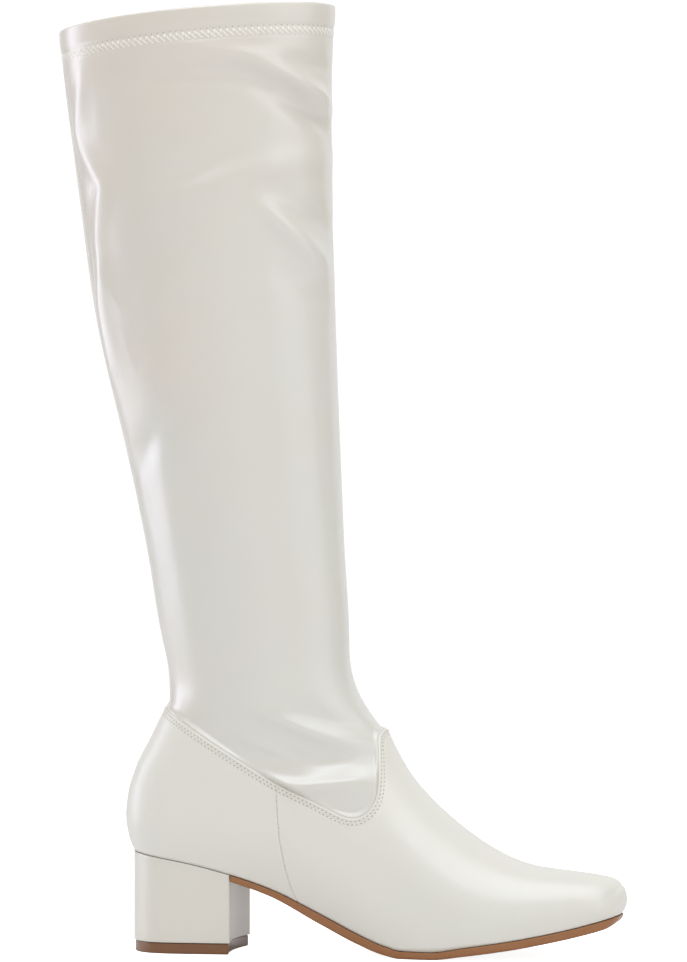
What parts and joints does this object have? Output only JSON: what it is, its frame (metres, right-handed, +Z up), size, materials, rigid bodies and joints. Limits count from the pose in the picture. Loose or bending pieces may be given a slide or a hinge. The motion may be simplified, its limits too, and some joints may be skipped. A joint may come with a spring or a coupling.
{
  "type": "stretch knee boot",
  "caption": "Ivory stretch knee boot for the right foot: snug leg under a stitched foot upper with a soft square toe, covered block heel, brown top lift and tan outsole.",
  "frame": {"origin": "middle of the bounding box on the floor plane", "axes": "+Z up the leg, +X towards the toe, -Y towards the outer side of the foot"},
  "size_m": [0.292, 0.096, 0.4821],
  "materials": {
    "upper": "smooth ivory synthetic leather with a satin sheen",
    "shaft": "thin ivory stretch leather with a satin sheen and soft creases",
    "insole": "pale lining cloth",
    "outsole": "tan brown with a smooth edge",
    "heel": "ivory cover over a moulded block",
    "top_lift": "brown, slightly glossy"
  },
  "bodies": {
    "root": {"upper": "upper", "shaft": "shaft", "insole": "insole", "outsole": "outsole", "heel": "heel", "top_lift": "top_lift"}
  },
  "joints": []
}
